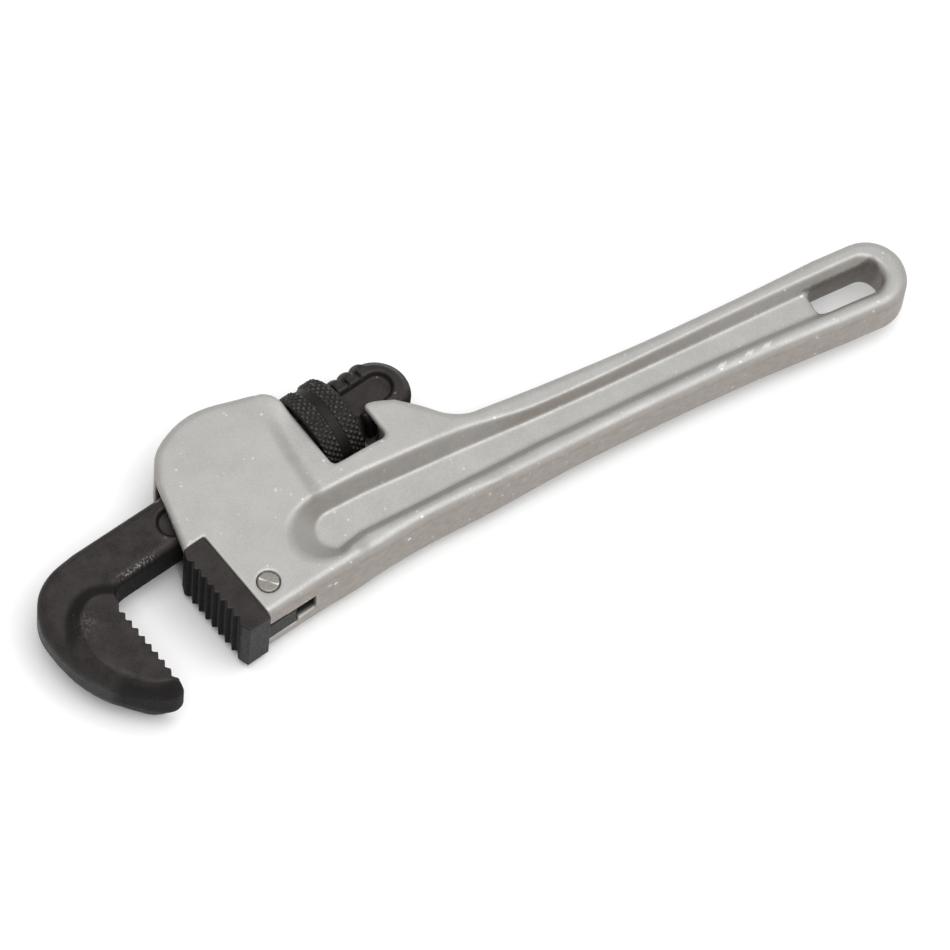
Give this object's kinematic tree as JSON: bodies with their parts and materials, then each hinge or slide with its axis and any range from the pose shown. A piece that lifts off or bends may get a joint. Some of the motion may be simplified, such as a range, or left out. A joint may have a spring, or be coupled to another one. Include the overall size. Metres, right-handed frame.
{
  "type": "pipe wrench",
  "caption": "Adjustable pipe wrench: cast aluminium I-beam handle and housing, toothed hook jaw moved by a knurled nut, pinned heel jaw, hang hole.",
  "frame": {"origin": "centre of the bounding box in plan, at the lowest point, which is the knurled nut's rim", "axes": "+X along the handle towards the hang hole, +Z through the thickness, mouth opens to -Y"},
  "size_m": [0.2598, 0.0713, 0.026],
  "materials": {
    "silver_casting": "cast, silver-grey coated, fine grain",
    "black_jaw_steel": "forged steel, black oxide, satin",
    "black_nut_steel": "turned steel, black oxide, knurled",
    "pin_steel": "ground flush, dull",
    "spring_steel": "spring temper, lightly oiled"
  },
  "bodies": {
    "housing": {"handle_housing": "silver_casting", "heel_jaw": "black_jaw_steel", "heel_jaw_pin": "pin_steel", "coil_spring": "spring_steel"},
    "spring_carrier": {"flat_spring": "spring_steel", "spring_rivet": "spring_steel"},
    "hook": {"hook_jaw": "black_jaw_steel"},
    "nut": {"knurled_nut": "black_nut_steel"}
  },
  "joints": [
    {"name": "jaw_rock", "type": "hinge", "parent": "housing", "child": "spring_carrier", "pos_m": [-0.0355, 0.0194, 0.013], "axis": [0, 0, 1], "range_deg": [-2.5, 0.6], "stiffness_Nm_per_rad": 2, "deforming": ["coil_spring"]},
    {"name": "nut_spin", "type": "hinge", "parent": "spring_carrier", "child": "nut", "pos_m": [-0.0355, 0.0194, 0.013], "axis": [0.985, 0.1724, 0], "range_deg": [-1900, 1000]},
    {"name": "jaw_slide", "type": "slide", "parent": "spring_carrier", "child": "hook", "axis": [0.985, 0.1724, 0], "range_m": [-0.011, 0.021]}
  ],
  "couplings": [
    {"joint": "nut_spin", "follows": "jaw_slide", "rad_per_m": -1570.8}
  ]
}
